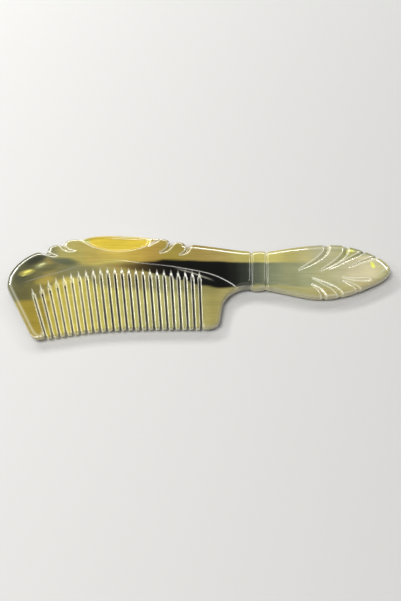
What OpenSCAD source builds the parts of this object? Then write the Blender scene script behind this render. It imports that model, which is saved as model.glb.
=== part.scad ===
// Handled hair comb, sawn and carved from one plate of horn.
// It lies flat: +X runs along the comb to the tip of the handle, the teeth point to -Y and
// +Z is up through the thickness. The origin is under the middle of the comb, on its flat underside.
// The plate is divided where its carving divides it, and the pieces meet face to face.

/* [Plate] */
// Thickness of the spine, neck and handle
plate_t = 5.6; // [5:0.1:7]
// Radius of the rounded outer edge
edge_r = 2.2; // [1:0.1:2.4]
// Thickness of the band in which the slots end
band_t = 4.8; // [4:0.1:5]
// Steps in each smooth stretch between two points of the outline
smooth_steps = 3; // [2:1:5]

/* [Teeth] */
// Width of the saw slot between two teeth
slot_w = 0.85; // [0.75:0.05:1.2]
// Distance from slot to slot at the roots
root_pitch = 3.47; // [3.4:0.01:3.55]
// Distance from slot to slot at the tips
tip_pitch = 3.06; // [3:0.01:3.2]
// Thickness of the teeth at their tips
tip_t = 2.6; // [2:0.1:4]
// Depth of the saw's run-out groove above each slot
runout_depth = 0.5; // [0.2:0.1:1]
// Length of the saw's run-out groove above each slot
runout_len = 4; // [2:0.5:5]

/* [Carving] */
// Depth of the thumb dish on each face
dish_depth = 0.9; // [0.5:0.1:1.5]
// Radius of the thumb dish where it meets the face
dish_r = 28; // [26:0.5:29]
// Width of the dish's sloping wall
dish_wall_w = 2; // [1:0.5:8]
// Depth of the scroll cuts beside the dish
scroll_depth = 0.9; // [0.4:0.1:1.5]
// Depth of the two ring grooves at the neck
ring_depth = 0.8; // [0.4:0.1:1.2]
// Depth of a leaf vein at the edge of the handle
vein_depth = 1; // [0.5:0.1:1.5]
// Radius of the gouge that cuts the veins
gouge_r = 1.8; // [1.5:0.1:3]

/* [Hidden] */
TOOTH_COUNT = 23;
function two_digits(n) = n < 10 ? str("0", n) : str(n);
TEETH = [for (n = [1:TOOTH_COUNT]) str("tooth_", two_digits(n))];
BODY = ["spine", "root_band", "front_guard_tooth", "rear_guard_tooth", "neck_collar", "handle"];
$fn = 48;

mid_z = plate_t / 2;
// How far a cutting tool reaches past the plate
clear = 5;
// Longer than the plate: a region that is open to one side reaches this far
far = 150;
gouge_facets = 14;
ball_facets = 16;
dish_facets = 120;
// Angle between two points of a tooth's round tip
tip_step = 22.5;

// Colours of the horn along the plate
pale_horn = "#c3bd78";
smoky_horn = "#85886a";
ochre_horn = "#b09a48";
tooth_horn = "#cfc472";
dark_horn = "#3a3526";
leaf_horn = "#a3a67c";

// ---- Smooth curves: each passes through points chosen by eye

function between(a, b, c, d, t) =
    (2 * b + (c - a) * t + (2 * a - 5 * b + 4 * c - d) * t * t + (3 * b - a - 3 * c + d) * t * t * t) / 2;

function smooth(p) =
    let (last = len(p) - 1)
    concat(
        [for (i = [0:last - 1], k = [0:smooth_steps - 1])
            between(p[max(i - 1, 0)], p[i], p[i + 1], p[min(i + 2, last)], k / smooth_steps)],
        [p[last]]
    );

function reversed(p) = [for (i = [len(p) - 1:-1:0]) p[i]];

// Height of a left-to-right curve at x, straight between its points
function height_at(curve, x, i = 0) =
    let (a = curve[i], b = curve[i + 1])
    i >= len(curve) - 2 || b[0] > x
        ? a[1] + (x - a[0]) * (b[1] - a[1]) / (b[0] - a[0])
        : height_at(curve, x, i + 1);

// ---- Outline of the plate, in stretches that run from left to right

// Crest: shoulder, two scrolls, the rim of the dish, two scrolls, and the long slope to the neck
shoulder = smooth([[-95.3, 4.7], [-94.4, 8.2], [-91.9, 13.1], [-87.7, 17.9], [-83, 20.9], [-79, 20.9]]);
scroll_1 = smooth([[-78.3, 21.6], [-77.2, 24.4], [-74, 26.1], [-71.2, 26.2]]);
scroll_2 = smooth([[-70.4, 26.6], [-69, 28.6], [-65.6, 29.9], [-62.2, 29.6]]);
dish_rim = smooth([[-61.2, 29.5], [-56, 31.4], [-48, 32.2], [-38, 31.8], [-28, 30.8], [-25, 30.2]]);
scroll_3 = smooth([[-24, 30.2], [-20, 30.2], [-17, 29], [-15.9, 27.2]]);
scroll_4 = smooth([[-15.1, 27], [-12, 27.8], [-9, 27], [-7.9, 25.4]]);
slope = smooth([[-7, 25.2], [-4, 26], [6, 24.4], [16, 22.5], [24, 21.2]]);
neck_top = smooth([[25.6, 20.6], [27, 20.9], [30, 21.2], [32.5, 20.9], [33.6, 20.6], [35, 21.1]]);
leaf_top = smooth([
    [46, 23.4], [55, 24.8], [65, 25.5], [74, 24.9], [82.7, 21.6], [89.3, 17.7], [93.6, 13.7], [95.8, 9.2]
]);
// Underside: leaf, neck, the notch behind the rear guard tooth, the tooth tips and the free end
leaf_low = smooth([
    [94.8, 5.9], [90.4, 2.1], [84, -1.5], [76, -5.2], [68, -7.8], [60, -9.1], [52, -8.6],
    [42, -6], [34, -3.6]
]);
neck_low = smooth([
    [31.2, -3.3], [30, -2.9], [28.8, -3.2], [26.5, -3.4], [24.2, -3.2], [23, -2.8], [21.6, -2.7]
]);
notch = smooth([
    [18.5, -3.2], [14.8, -5], [11.4, -8.2], [8.9, -12.8], [7.5, -18.8], [6.7, -23],
    [5.2, -25.5], [2.4, -26.9]
]);
tips = smooth([[-2, -27.1], [-20, -27.3], [-38, -27.2], [-55, -28.3], [-68, -30.5]]);
free_end = smooth([
    [-75.5, -32], [-78.5, -32.1], [-80.9, -29.6], [-86.5, -18.8], [-91.3, -9.5], [-94.7, -2.5], [-95.4, 1.6]
]);

outline = reversed(concat(
    shoulder, scroll_1, scroll_2, dish_rim, scroll_3, scroll_4, slope, neck_top, leaf_top,
    leaf_low, neck_low, notch, tips, free_end
));

// ---- Lines that divide the plate

// The crease, a step down from the thick spine to the band
crease = smooth([
    [-96, 0.5], [-88, -0.2], [-81, 2.6], [-69, 7], [-56.5, 12.2], [-43.7, 14.3],
    [-31, 12.3], [-17, 10.2], [-8, 8.1], [0, 6], [6, 3.6], [11.8, -0.2], [16.2, -4.2], [21, -9.8]
]);
// The line on which the slots end
roots = smooth([
    [-84, -9.8], [-81.7, -7.2], [-76, -2.9], [-69, 0.4], [-58.5, 4.2],
    [-44.4, 5.7], [-29.7, 4.8], [-15, 3.7], [0, 2.6]
]);
// The line through the tips of the fine teeth
tooth_ends = smooth([[-74, -32], [-63, -30], [-53, -28.4], [-38, -27.2], [-20, -27], [0, -27.2]]);

first_root_x = -81.7;
first_end_x = -72.5;
slot_end_y = -34.8;
function slot_root(i) =
    let (x = first_root_x + i * root_pitch)
    [x, height_at(roots, x)];
function slot_end(i) = [first_end_x + i * tip_pitch, slot_end_y];
function along(a, b, y) = a + (b - a) * (y - a[1]) / (b[1] - a[1]);

// Ring grooves: each has its top and its bottom point, and leans a little
ring_1 = [[25.8, 23], [22.5, -9]];
ring_2 = [[33.5, 23], [30.2, -9]];

// ---- The plate

// The part of the plate that stands over a flat region, with its outer edges rounded
module plate_over(region) {
    // The ball passes over a little more than the region, so that a cut side stays square
    margin = 3 * edge_r;
    intersection() {
        minkowski() {
            translate([0, 0, edge_r])
                linear_extrude(plate_t - 2 * edge_r)
                offset(delta = -edge_r)
                intersection() {
                    polygon(outline);
                    offset(delta = margin) polygon(region);
                }
            // The flats of a faceted ball lie inside its radius, so it is made larger to reach edge_r
            sphere(r = edge_r / cos(180 / ball_facets), $fn = ball_facets);
        }
        translate([0, 0, -clear]) linear_extrude(plate_t + 2 * clear) polygon(region);
    }
}

// Both faces are carved alike: this repeats a cutter made for the top face on the underside
module both_faces() {
    children();
    translate([0, 0, plate_t]) mirror([0, 0, 1]) children();
}

// The blade's thickness: level in the band, tapering from the roots to the tips
module blade_thickness() {
    side = [[far, band_t / 2], [0, band_t / 2], [slot_end_y, tip_t / 2], [slot_end_y - clear, tip_t / 2]];
    below = [for (p = reversed(side)) [p[0], -p[1]]];
    translate([-far, 0, mid_z]) rotate([90, 0, 90]) linear_extrude(2 * far) polygon(concat(side, below));
}

// ---- Cutters

// A gouge stroke into the top face between two points, with its depth at each
module gouge_stroke(from, to, from_depth, to_depth, radius = gouge_r, face_z = plate_t) {
    hull() {
        translate([from[0], from[1], face_z - from_depth + radius]) sphere(r = radius, $fn = gouge_facets);
        translate([to[0], to[1], face_z - to_depth + radius]) sphere(r = radius, $fn = gouge_facets);
    }
}

// A groove with a narrow flat bottom and sloping sides, on the top face along a straight line
module v_groove(from, to, depth) {
    run = to - from;
    half_flat = 0.15;
    above = 1;
    half_open = half_flat + depth + above;
    translate([from[0], from[1], plate_t])
        rotate([0, 0, atan2(run[1], run[0])])
        rotate([90, 0, 90])
        linear_extrude(norm(run))
        polygon([[-half_flat, -depth], [half_flat, -depth], [half_open, above], [-half_open, above]]);
}

module ring_grooves() {
    for (ring = [ring_1, ring_2]) both_faces() v_groove(ring[0], ring[1], ring_depth);
}

// The thumb dish: a round hollow with a flat floor, whose middle lies past the crest
module dish() {
    centre = [-41.9, 48.2];
    translate([centre[0], centre[1], plate_t])
        rotate_extrude($fn = dish_facets)
        polygon([
            [0, -dish_depth], [dish_r - dish_wall_w, -dish_depth],
            [dish_r + dish_wall_w, dish_depth], [0, dish_depth]
        ]);
}

// Scroll cuts run from a notch in the crest down into the face
module scroll_cuts() {
    cuts = [
        [[-79.6, 21.2], [-72.6, 17]], [[-71, 26], [-65, 20.6]],
        [[-15.4, 27.6], [-21.5, 19.4]], [[-7.2, 25.9], [-11, 17.8]]
    ];
    for (cut = cuts) gouge_stroke(cut[0], cut[1], scroll_depth, 0);
}

// Leaf veins sweep in from the edge towards the neck, three above the midrib and three below it.
// Each is two strokes: a deep one from the edge to the bend, and one that runs out.
module veins() {
    upper = [
        [[65.3, 26.1], [59.3, 14.6], [48.2, 7]], [[75.3, 25.2], [68.5, 13.2], [59.2, 6.4]],
        [[84.6, 21.6], [80, 13.4], [74.7, 9]]
    ];
    lower = [
        [[60.4, -10.8], [56.8, -5.6], [53.2, -2]], [[68.6, -9.6], [62.4, -3], [54.4, 2]],
        [[78.8, -6], [74.2, -2.8], [69.5, -0.2]]
    ];
    for (vein = concat(upper, lower)) {
        gouge_stroke(vein[0], vein[1], vein_depth, vein_depth / 2);
        gouge_stroke(vein[1], vein[2], vein_depth / 2, 0);
    }
}

// ---- Pieces

module spine() {
    region = concat(crease, [ring_1[1], ring_1[0], [ring_1[0][0], far], [-far, far]]);
    color(pale_horn) difference() {
        plate_over(region);
        both_faces() dish();
        both_faces() scroll_cuts();
        ring_grooves();
    }
}

// The band lies under the crease and over the roots, and each slot has its round end in it
module root_band() {
    left = slot_root(0)[0] - slot_w;
    right = slot_root(TOOTH_COUNT)[0] + slot_w;
    top = [for (p = crease) if (p[0] > left && p[0] < right) p];
    low = [for (p = roots) if (p[0] > left && p[0] < right) p];
    region = concat(
        [[left, height_at(roots, left)]], low, [[right, height_at(roots, right)]],
        [[right, height_at(crease, right)]], reversed(top), [[left, height_at(crease, left)]]
    );
    color(smoky_horn) difference() {
        translate([0, 0, mid_z - band_t / 2]) linear_extrude(band_t) polygon(region);
        for (i = [0:TOOTH_COUNT]) {
            translate(slot_root(i)) cylinder(h = plate_t, r = slot_w / 2);
            both_faces() runout(i);
        }
    }
}

// The groove that the saw leaves on the face above a slot, deepest at the slot
module runout(i) {
    root = slot_root(i);
    up = (root - slot_end(i)) / norm(root - slot_end(i));
    gouge_stroke(root, root + runout_len * up, runout_depth, 0, slot_w / 2, mid_z + band_t / 2);
}

module front_guard_tooth() {
    root = slot_root(0);
    slot_side = root - [slot_w / 2, 0];
    left = root[0] - slot_w;
    edge = [for (p = crease) if (p[0] < left) p];
    past_end = (slot_end(0) - root) / 4;
    region = concat(
        [[-far, slot_end_y - clear], slot_end(0) - [slot_w / 2, 0] + past_end, slot_side],
        [[left, height_at(roots, left)], [left, height_at(crease, left)]],
        reversed(edge)
    );
    color(ochre_horn) intersection() {
        plate_over(region);
        blade_thickness();
    }
}

module rear_guard_tooth() {
    root = slot_root(TOOTH_COUNT);
    slot_side = root + [slot_w / 2, 0];
    right = root[0] + slot_w;
    edge = [for (p = crease) if (p[0] > right) p];
    past_notch = ring_1[1][0];
    region = concat(
        [[right, height_at(roots, right)], slot_side],
        [slot_end(TOOTH_COUNT) + [slot_w / 2, 0], [past_notch, slot_end_y]],
        reversed(edge),
        [[right, height_at(crease, right)]]
    );
    color(dark_horn) intersection() {
        plate_over(region);
        blade_thickness();
    }
}

// Outline of a tapered finger along -Y that ends in a half circle
function finger(top, shoulder, start_w, end_w, reach) = concat(
    [[start_w / 2, shoulder], [start_w / 2, top], [-start_w / 2, top], [-start_w / 2, shoulder]],
    [for (a = [180:tip_step:360]) [0, end_w / 2 - reach] + end_w / 2 * [cos(a), sin(a)]]
);

// One fine tooth: tapered and rounded at its tip, both in plan and in thickness
module tooth(i) {
    root = (slot_root(i) + slot_root(i + 1)) / 2;
    end_mid = (slot_end(i) + slot_end(i + 1)) / 2;
    tip = along(root, end_mid, height_at(tooth_ends, end_mid[0]));
    reach = norm(tip - root);
    stub = 3;
    under_roots = concat([[-far, slot_end_y - clear], [far, slot_end_y - clear]], reversed(roots));
    color(tooth_horn) intersection() {
        translate(root) rotate(90 + atan2(tip[1] - root[1], tip[0] - root[0])) intersection() {
            linear_extrude(plate_t)
                polygon(finger(stub, 0, root_pitch - slot_w, tip_pitch - slot_w, reach));
            translate([-root_pitch, 0, mid_z])
                rotate([90, 0, 90])
                linear_extrude(2 * root_pitch)
                polygon([for (p = finger(stub, 0, band_t, tip_t, reach)) [p[1], p[0]]]);
        }
        linear_extrude(plate_t) polygon(under_roots);
    }
}

module neck_collar() {
    color(leaf_horn) difference() {
        plate_over([ring_1[1], ring_2[1], ring_2[0], ring_1[0]]);
        ring_grooves();
    }
}

module handle() {
    color(leaf_horn) difference() {
        plate_over([
            ring_2[1], [ring_2[1][0], -far], [far, -far],
            [far, far], [ring_2[0][0], far], ring_2[0]
        ]);
        ring_grooves();
        both_faces() veins();
    }
}

spine();
root_band();
front_guard_tooth();
rear_guard_tooth();
for (i = [0:TOOTH_COUNT - 1])
    tooth(i);
neck_collar();
handle();
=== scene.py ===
import math

import bpy
import numpy as np
from mathutils import Matrix, Vector
from mathutils.geometry import delaunay_2d_cdt


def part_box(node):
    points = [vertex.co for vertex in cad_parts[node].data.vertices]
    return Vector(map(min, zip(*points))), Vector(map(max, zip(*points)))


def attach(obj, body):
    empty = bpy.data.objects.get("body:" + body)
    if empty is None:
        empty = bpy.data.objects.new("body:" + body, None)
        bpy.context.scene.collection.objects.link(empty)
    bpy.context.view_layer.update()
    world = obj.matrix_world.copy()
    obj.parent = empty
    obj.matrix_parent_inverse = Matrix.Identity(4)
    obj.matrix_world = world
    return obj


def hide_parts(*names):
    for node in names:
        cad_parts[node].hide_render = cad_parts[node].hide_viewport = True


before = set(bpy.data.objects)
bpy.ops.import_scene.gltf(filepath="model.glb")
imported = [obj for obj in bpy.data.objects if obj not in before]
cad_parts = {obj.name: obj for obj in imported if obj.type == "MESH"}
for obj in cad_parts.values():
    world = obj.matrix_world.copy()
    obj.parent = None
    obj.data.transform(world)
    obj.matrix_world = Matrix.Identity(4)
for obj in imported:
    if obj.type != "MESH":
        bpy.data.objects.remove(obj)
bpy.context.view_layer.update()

# The comb is one polished plate of horn. Its surface is worked out here as one height field
# over the plate's outline, in millimetres, and divided into one piece for each CAD node, so the
# shapes run on across every joint. Both faces are carved alike, as in the CAD.

MM = 0.001


def node_size(node):
    """The size of a CAD node's box in millimetres."""
    low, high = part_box(node)
    return (high - low) / MM


# ---- Thicknesses and slots

THICK = node_size("spine").z
BAND = node_size("root_band").z
TIP = 2.6
MID_Z = THICK / 2

TEETH = 23
SLOT_W = 0.85
ROOT_PITCH = 3.47
TIP_PITCH = 3.06
FIRST_ROOT_X = -81.7
FIRST_END_X = -72.5
SLOT_END_Y = -34.8

EDGE_BEVEL = 0.36      # drop of the edge's bevel, as a share of the half thickness
EDGE_ROUND = 0.36      # radius of the rounded rim, as a share of the half thickness
SLOT_ROUND = 0.45      # radius of a tooth's rounded edge, as a share of its half width
SLOT_LIP_R = SLOT_ROUND * (ROOT_PITCH - SLOT_W) / 2
LEAST_LEFT = 0.18      # share of the half thickness that the deepest carving leaves

# ---- Outline, clockwise from the left end. Each stretch has the width of its bevel.

OUTER = [
    (2.4, [(-95.3, 4.7), (-94.4, 8.2), (-91.9, 13.1), (-87.7, 17.9), (-83, 20.9), (-79, 20.9)]),
    (1.7, [(-78.3, 21.6), (-77.2, 24.4), (-74, 26.1), (-71.2, 26.2)]),
    (1.7, [(-70.4, 26.6), (-69, 28.6), (-65.6, 29.9), (-62.2, 29.6)]),
    (1.1, [(-61.2, 29.5), (-56, 31.4), (-48, 32.2), (-38, 31.8), (-28, 30.8), (-25, 30.2)]),
    (1.7, [(-24, 30.2), (-20, 30.2), (-17, 29), (-15.9, 27.2)]),
    (1.7, [(-15.1, 27), (-12, 27.8), (-9, 27), (-7.9, 25.4)]),
    (3.3, [(-7, 25.2), (-4, 26), (6, 24.4), (16, 22.5), (24, 21.2)]),
    (2.4, [(25.6, 20.6), (27, 20.9), (30, 21.2), (32.5, 20.9), (33.6, 20.6), (35, 21.1)]),
    (3.2, [(46, 23.4), (55, 24.8), (65, 25.5), (74, 24.9), (82.7, 21.6), (89.3, 17.7), (93.6, 13.7),
           (95.8, 9.2)]),
    (3.0, [(94.8, 5.9), (90.4, 2.1), (84, -1.5), (76, -5.2), (68, -7.8), (60, -9.1), (52, -8.6),
           (42, -6), (34, -3.6)]),
    (1.8, [(31.2, -3.3), (30, -2.9), (28.8, -3.2), (26.5, -3.4), (24.2, -3.2), (23, -2.8),
           (21.6, -2.7)]),
    (1.3, [(18.5, -3.2), (14.8, -5), (11.4, -8.2), (8.9, -12.8), (7.5, -18.8), (6.7, -23),
           (5.2, -25.5), (2.4, -26.9)]),
    (1.0, [(0.6, -27.1), (-0.9, -26.95), (-1.5, -26.3), (-1.64, -25.4)]),
]
FREE_END = [
    (1.0, [(-74.62, -29.8), (-74.45, -30.9), (-74.9, -31.7), (-76.2, -32.1)]),
    (1.7, [(-78, -32.15), (-80.9, -29.6), (-86.5, -18.8), (-91.3, -9.5), (-94.7, -2.5),
           (-95.4, 1.6)]),
]

CREASE = [(-96, 0.5), (-88, -0.2), (-81, 2.6), (-69, 7), (-56.5, 12.2), (-43.7, 14.3), (-31, 12.3),
          (-17, 10.2), (-8, 8.1), (0, 6), (6, 3.6), (11.8, -0.2), (16.2, -4.2), (21, -9.8)]
BRANCH = [(-16, 9.6), (-11, 8), (-6.3, 6.3), (-1.6, 4.1), (2.5, 2.1), (7, -0.3)]
ROOTS = [(-84, -9.8), (-81.7, -7.2), (-76, -2.9), (-69, 0.4), (-58.5, 4.2), (-44.4, 5.7),
         (-29.7, 4.8), (-15, 3.7), (0, 2.6)]
TOOTH_ENDS = [(-74, -32), (-63, -30), (-53, -28.4), (-38, -27.2), (-20, -27), (0, -27.2)]
RINGS = [[(25.8, 23), (22.5, -9)], [(33.5, 23), (30.2, -9)]]

# ---- Carving. A span gives the x at which a feature starts to change, and the x at which it has.

BLADE_ENDS = (19, 22)

CREASE_W = 0.45        # width of the step at the crease
CREASE_SLOPE_W = 7.0   # width of the gentle slope above it
CREASE_STEP = 0.55     # the step's share of the drop
CREASE_FADE_W = 9.0    # how much wider the step is where it has died out on the left
CREASE_CRISP = (-91, -79)

BRANCH_DROP, BRANCH_W = 0.14, 0.35
BRANCH_FADE = (3, 0.5)                    # distances below the branch over which it evens out
BRANCH_BEGINS, BRANCH_ENDS = (-15, -9), (6, 1)

DISH_CENTRE, DISH_R = (-41.9, 48.2), 28.0
DISH_END_X, DISH_END_Y, DISH_END_LEAN = -25.9, 28, 0.25   # a leaning wall ends the dish
DISH_DEPTH, DISH_WALL_W, DISH_FALL = 0.85, 1.7, 0.03
DISH_RIM_W, DISH_RIM_SLOPE = 1.2, 0.8

RING_W, RING_DEPTH = 0.95, 0.8
RUNOUT_LEN, RUNOUT_W, RUNOUT_DEPTH = 4.0, 0.66, 0.4

# ---- Painted highlights along lips, rims, cuts, the crease and the dish, and painted shade and glow on the teeth: how much, and how wide the pale line is

RIM_LIGHT, BEVEL_LIGHT = (0.3, 0.6), (0.4, 0.5)
SLOT_LIGHT, TOOTH_LIGHT = (0.7, 0.3), (0.7, 0.3)
BRANCH_LIGHT, DISH_END_LIGHT = (0.4, 0.3), (0.6, 0.35)
CREASE_LIGHT_W, DISH_LIGHT_W = 0.3, 0.3
RUNOUT_LIGHT = 1.2
CUT_LIGHT = 0.8
TIP_LIGHT = 0.7
TOOTH_PAINTED_SHADE, TOOTH_PAINTED_SHADE_W = 0.5, 0.32      # how much darker the painted shade down a tooth's middle is, and how wide
# Painted glow on the slots' walls: how strong, and the span of x over which it grows towards the
# left end
SLOT_WALL_GLOW_STRENGTH, SLOT_WALL_GLOW_SPAN = 1.3, (-38, -66)

# A cut is a V with one steep and one gentle wall. It runs from its shallow end to the edge:
# points, depth at the edge, width of the wall on its left, width of the wall on its right.
SCROLL_CUTS = [
    ([(-72.2, 17.2), (-74.6, 18.1), (-77, 19.6), (-79.4, 21.9)], 1.3, 2.6, 0.7),
    ([(-63.6, 20.9), (-66.4, 21.3), (-68.6, 22.8), (-70.9, 27.2)], 1.3, 2.6, 0.7),
    ([(-27.6, 23.6), (-25.2, 25.7), (-23, 27.6), (-21.2, 29.8)], 0.45, 0.7, 1.2),
    ([(-22, 19.3), (-20, 20.2), (-17.6, 22.6), (-15.4, 28)], 1.3, 0.7, 2.6),
    ([(-11.6, 17.8), (-9.6, 19), (-7.8, 21.4), (-7.2, 26.4)], 1.3, 0.7, 2.6),
]
VEINS = [
    ([(47.8, 6.8), (54.3, 10.6), (59.6, 14.2), (64, 18.6), (65.4, 22), (65.7, 26.7)],
     1.15, 2.5, 0.9),
    ([(58.8, 6.2), (64.6, 9.8), (69.2, 13), (73.6, 17.4), (75.2, 20.6), (76.2, 26.0)],
     1.15, 2.5, 0.9),
    ([(62.9, 7.2), (69.7, 10.9), (75.5, 14.3), (80.6, 17.2), (83.6, 19.6), (86, 23)],
     1.0, 1.6, 0.8),
    ([(74.2, 8.6), (78, 11), (81.9, 13), (86.2, 14.9), (92, 18)], 0.8, 0.8, 1.7),
    ([(53, -1.8), (56, -4.4), (58.4, -7.4), (60, -11.4)], 1.0, 0.9, 2.0),
    ([(53.6, 2.4), (58.6, -0.6), (63.6, -3.8), (67, -7), (68.6, -10)], 1.0, 0.9, 2.2),
    ([(68.8, 2.3), (73.4, 1.2), (77.8, 0.7), (82.6, 0.9)], 0.35, 1.0, 1.0),
    ([(69, 0), (72.4, -1.8), (76, -3.8), (79.2, -7)], 0.8, 0.8, 1.8),
]
CUT_SOFT = 0.12        # how far a cut's lines are polished soft
CUT_REACH = 3.5        # nothing of a cut lies farther than this from its line
LIP_W = 0.28           # width of the painted highlight along a cut's lip

# ---- Mesh spacing

OUTLINE_STEP = 0.45    # distance between two points of the edge
COARSE_STEP = 0.85     # distance between two points of a plain face
LINE_STEP = 0.6        # distance between two points of a crease or of a joint between pieces
GUIDE_STEP = 0.9       # distance between two points of a guard tooth's edge at a slot
ARC_STEPS = 12
RIM_ANGLES = np.radians([18, 36, 54, 72, 90])

# Rows of points beside each line, by their distance from it
BEVEL_ROWS = (1.3, 1.7, 2.1, 2.6, 3.0, 3.3, 3.6)
CREASE_ROWS = (-1.1, -0.9, -0.68, -0.45, -0.22, 0.25, 0.6)
BRANCH_ROWS = (-0.3, -0.1, 0.1, 0.3)
RING_ROWS = (0.12, 0.3, 0.5, 0.7, 0.85, 1.0, 1.25)
RUNOUT_ROWS = (-0.62, -0.42, -0.22, -0.08, 0.08, 0.22, 0.42, 0.62)
DISH_ROWS = (-4, -2.4, -1.9, -1.75, -1.6, -1.45, -0.9, -0.4, -0.15, 0.05, 0.3)
CUT_ROWS = (0, 0.08, 0.25, 0.5, 0.75, 0.92, 1.02, 1.15)   # as shares of the wall's width


# ---- Curves

def smooth(points, step=OUTLINE_STEP):
    """A Catmull-Rom curve through the points, with a point about every step."""
    p = np.array(points, float)
    padded = np.vstack([p[0], p, p[-1]])
    t = np.linspace(0, 1, 16, endpoint=False)[:, None]
    dense = []
    for a, b, c, d in zip(padded, padded[1:], padded[2:], padded[3:]):
        dense.append((2 * b + (c - a) * t + (2 * a - 5 * b + 4 * c - d) * t**2
                      + (3 * b - a - 3 * c + d) * t**3) / 2)
    dense = np.vstack(dense + [p[-1:]])
    return resample(dense, step)


def resample(points, step):
    """The same line, with its points evenly apart."""
    length = np.r_[0, np.cumsum(np.linalg.norm(np.diff(points, axis=0), axis=1))]
    count = max(int(round(length[-1] / step)), 1) + 1
    at = np.linspace(0, length[-1], count)
    return np.column_stack([np.interp(at, length, points[:, k]) for k in (0, 1)])


def unit(v):
    return v / np.linalg.norm(v, axis=-1, keepdims=True)


def right_of(v):
    """The direction at right angles to v, on its right."""
    return np.stack([v[..., 1], -v[..., 0]], axis=-1)


def smoothstep(low, high, x):
    t = np.clip((x - low) / (high - low), 0, 1)
    return t * t * (3 - 2 * t)


def soft_ramp(x, soft):
    """max(x, 0), with its corner rounded over about soft."""
    return soft * np.logaddexp(0, x / soft)


def soft_min(a, b, soft):
    return a - soft_ramp(a - b, soft)


def bump(x, width):
    """1 at 0, falling off over about width."""
    return np.exp(-(x / width)**2)


def pale_line(distance, light):
    """A painted line of light: light holds its strength and its width."""
    strength, width = light
    return strength * bump(distance, width)


def quarter_round(out):
    """The drop of a rounded edge as a share of its radius. Out is 0 where the round begins, and
    1 at the edge."""
    return 1 - np.sqrt(1 - np.clip(out, 0, 1)**2)


def nearest_on(points, line, block=4000):
    """For each point: its distance from the line, the nearest place along it in points of the
    line, and how far it lies to the line's right."""
    a, ab = line[:-1], np.diff(line, axis=0)
    long2 = np.maximum((ab**2).sum(1), 1e-12)
    distance, place, side = (np.empty(len(points)) for _ in range(3))
    for start in range(0, len(points), block):
        p = points[start:start + block, None] - a
        t = np.clip((p * ab).sum(2) / long2, 0, 1)
        away = p - t[..., None] * ab
        d2 = (away**2).sum(2)
        k = d2.argmin(1)
        rows = np.arange(len(k))
        part = slice(start, start + len(k))
        distance[part] = np.sqrt(d2[rows, k])
        place[part] = k + t[rows, k]
        side[part] = p[rows, k, 0] * ab[k, 1] - p[rows, k, 1] * ab[k, 0]
    return distance, place, np.sign(side) * distance


crease_line = smooth(CREASE, LINE_STEP)
branch_line = smooth(BRANCH, LINE_STEP)
roots_line = smooth(ROOTS, 0.3)
ends_line = smooth(TOOTH_ENDS, 0.5)


def height_on(line, x):
    return np.interp(x, line[:, 0], line[:, 1])


# ---- Slots and teeth. Slot i lies between tooth i and tooth i + 1, and the guards are the ends.

slot_x = FIRST_ROOT_X + ROOT_PITCH * np.arange(TEETH + 1)
slot_root = np.column_stack([slot_x, height_on(roots_line, slot_x)])
slot_end = np.column_stack([FIRST_END_X + TIP_PITCH * np.arange(TEETH + 1),
                            np.full(TEETH + 1, SLOT_END_Y)])
slot_up = unit(slot_root - slot_end)
slot_right = right_of(slot_up)
left_lip = slot_root - slot_right * SLOT_W / 2
right_lip = slot_root + slot_right * SLOT_W / 2

tooth_root = (slot_root[:-1] + slot_root[1:]) / 2
tooth_end = (slot_end[:-1] + slot_end[1:]) / 2
tooth_down = unit(tooth_end - tooth_root)
tip_r = (TIP_PITCH - SLOT_W) / 2


def tip_of(i):
    """The point of fine tooth i, on the line through the tooth ends."""
    y = height_on(ends_line, tooth_end[i, 0])
    return tooth_root[i] + tooth_down[i] * (y - tooth_root[i, 1]) / tooth_down[i, 1]


def across():
    """Places across a tooth, from -1 to 1, close together where its edge is round."""
    rim = 1 - SLOT_ROUND * (1 - np.cos(np.r_[0, RIM_ANGLES]))
    half = np.r_[rim, 0.28, 0]
    return np.r_[-half, half[-2::-1]]


def tooth_rim(share):
    """How far a tooth's face has dropped at a place across it, in units of the edge's radius."""
    return quarter_round((np.abs(share) - (1 - SLOT_ROUND)) / SLOT_ROUND)


def slot_arc(i):
    """The rounded end of a slot, from its right lip over the top to its left lip."""
    turn = np.linspace(0, math.pi, ARC_STEPS + 1)[:, None]
    return slot_root[i] + SLOT_W / 2 * (np.cos(turn) * slot_right[i] + np.sin(turn) * slot_up[i])


def boundary():
    """The edge of the plate above the fine teeth, clockwise, with the width of the bevel at each
    point; it is 0 where a slot or a tooth begins."""
    path, bevel, seam = [], [], []

    def add(points, width, is_seam=False):
        path.append(points)
        bevel.extend([width] * len(points))
        seam.extend([is_seam] * len(points))

    for width, points in OUTER:
        add(smooth(points), width)
    add(resample(np.array([path[-1][-1], right_lip[-1]]), GUIDE_STEP)[1:-1], 0)
    for i in range(TEETH, -1, -1):
        add(slot_arc(i), 0)
        if i:
            share = across()[1:-1, None]
            middle = (left_lip[i] + right_lip[i - 1]) / 2
            half = (left_lip[i] - right_lip[i - 1]) / 2
            add(middle - share * half, 0, True)
    add(resample(np.array([left_lip[0], FREE_END[0][1][0]]), GUIDE_STEP)[1:-1], 0)
    for width, points in FREE_END:
        add(smooth(points), width)
    return np.vstack(path), np.array(bevel), np.array(seam)


edge, edge_bevel, edge_is_seam = boundary()
edge_loop = np.vstack([edge, edge[:1]])
last_outer = sum(len(smooth(points)) for _, points in OUTER)
first_free = len(edge) - sum(len(smooth(points)) for _, points in FREE_END)
outer_line = np.vstack([edge[first_free:], edge[:last_outer]])
outer_bevel = np.r_[edge_bevel[first_free:], edge_bevel[:last_outer]]

# From one stretch to the next, the bevel's width changes over this many points
blend = 9
outer_bevel = np.pad(outer_bevel, blend // 2, mode="edge")
outer_bevel = np.convolve(outer_bevel, np.ones(blend) / blend, mode="valid")


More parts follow.
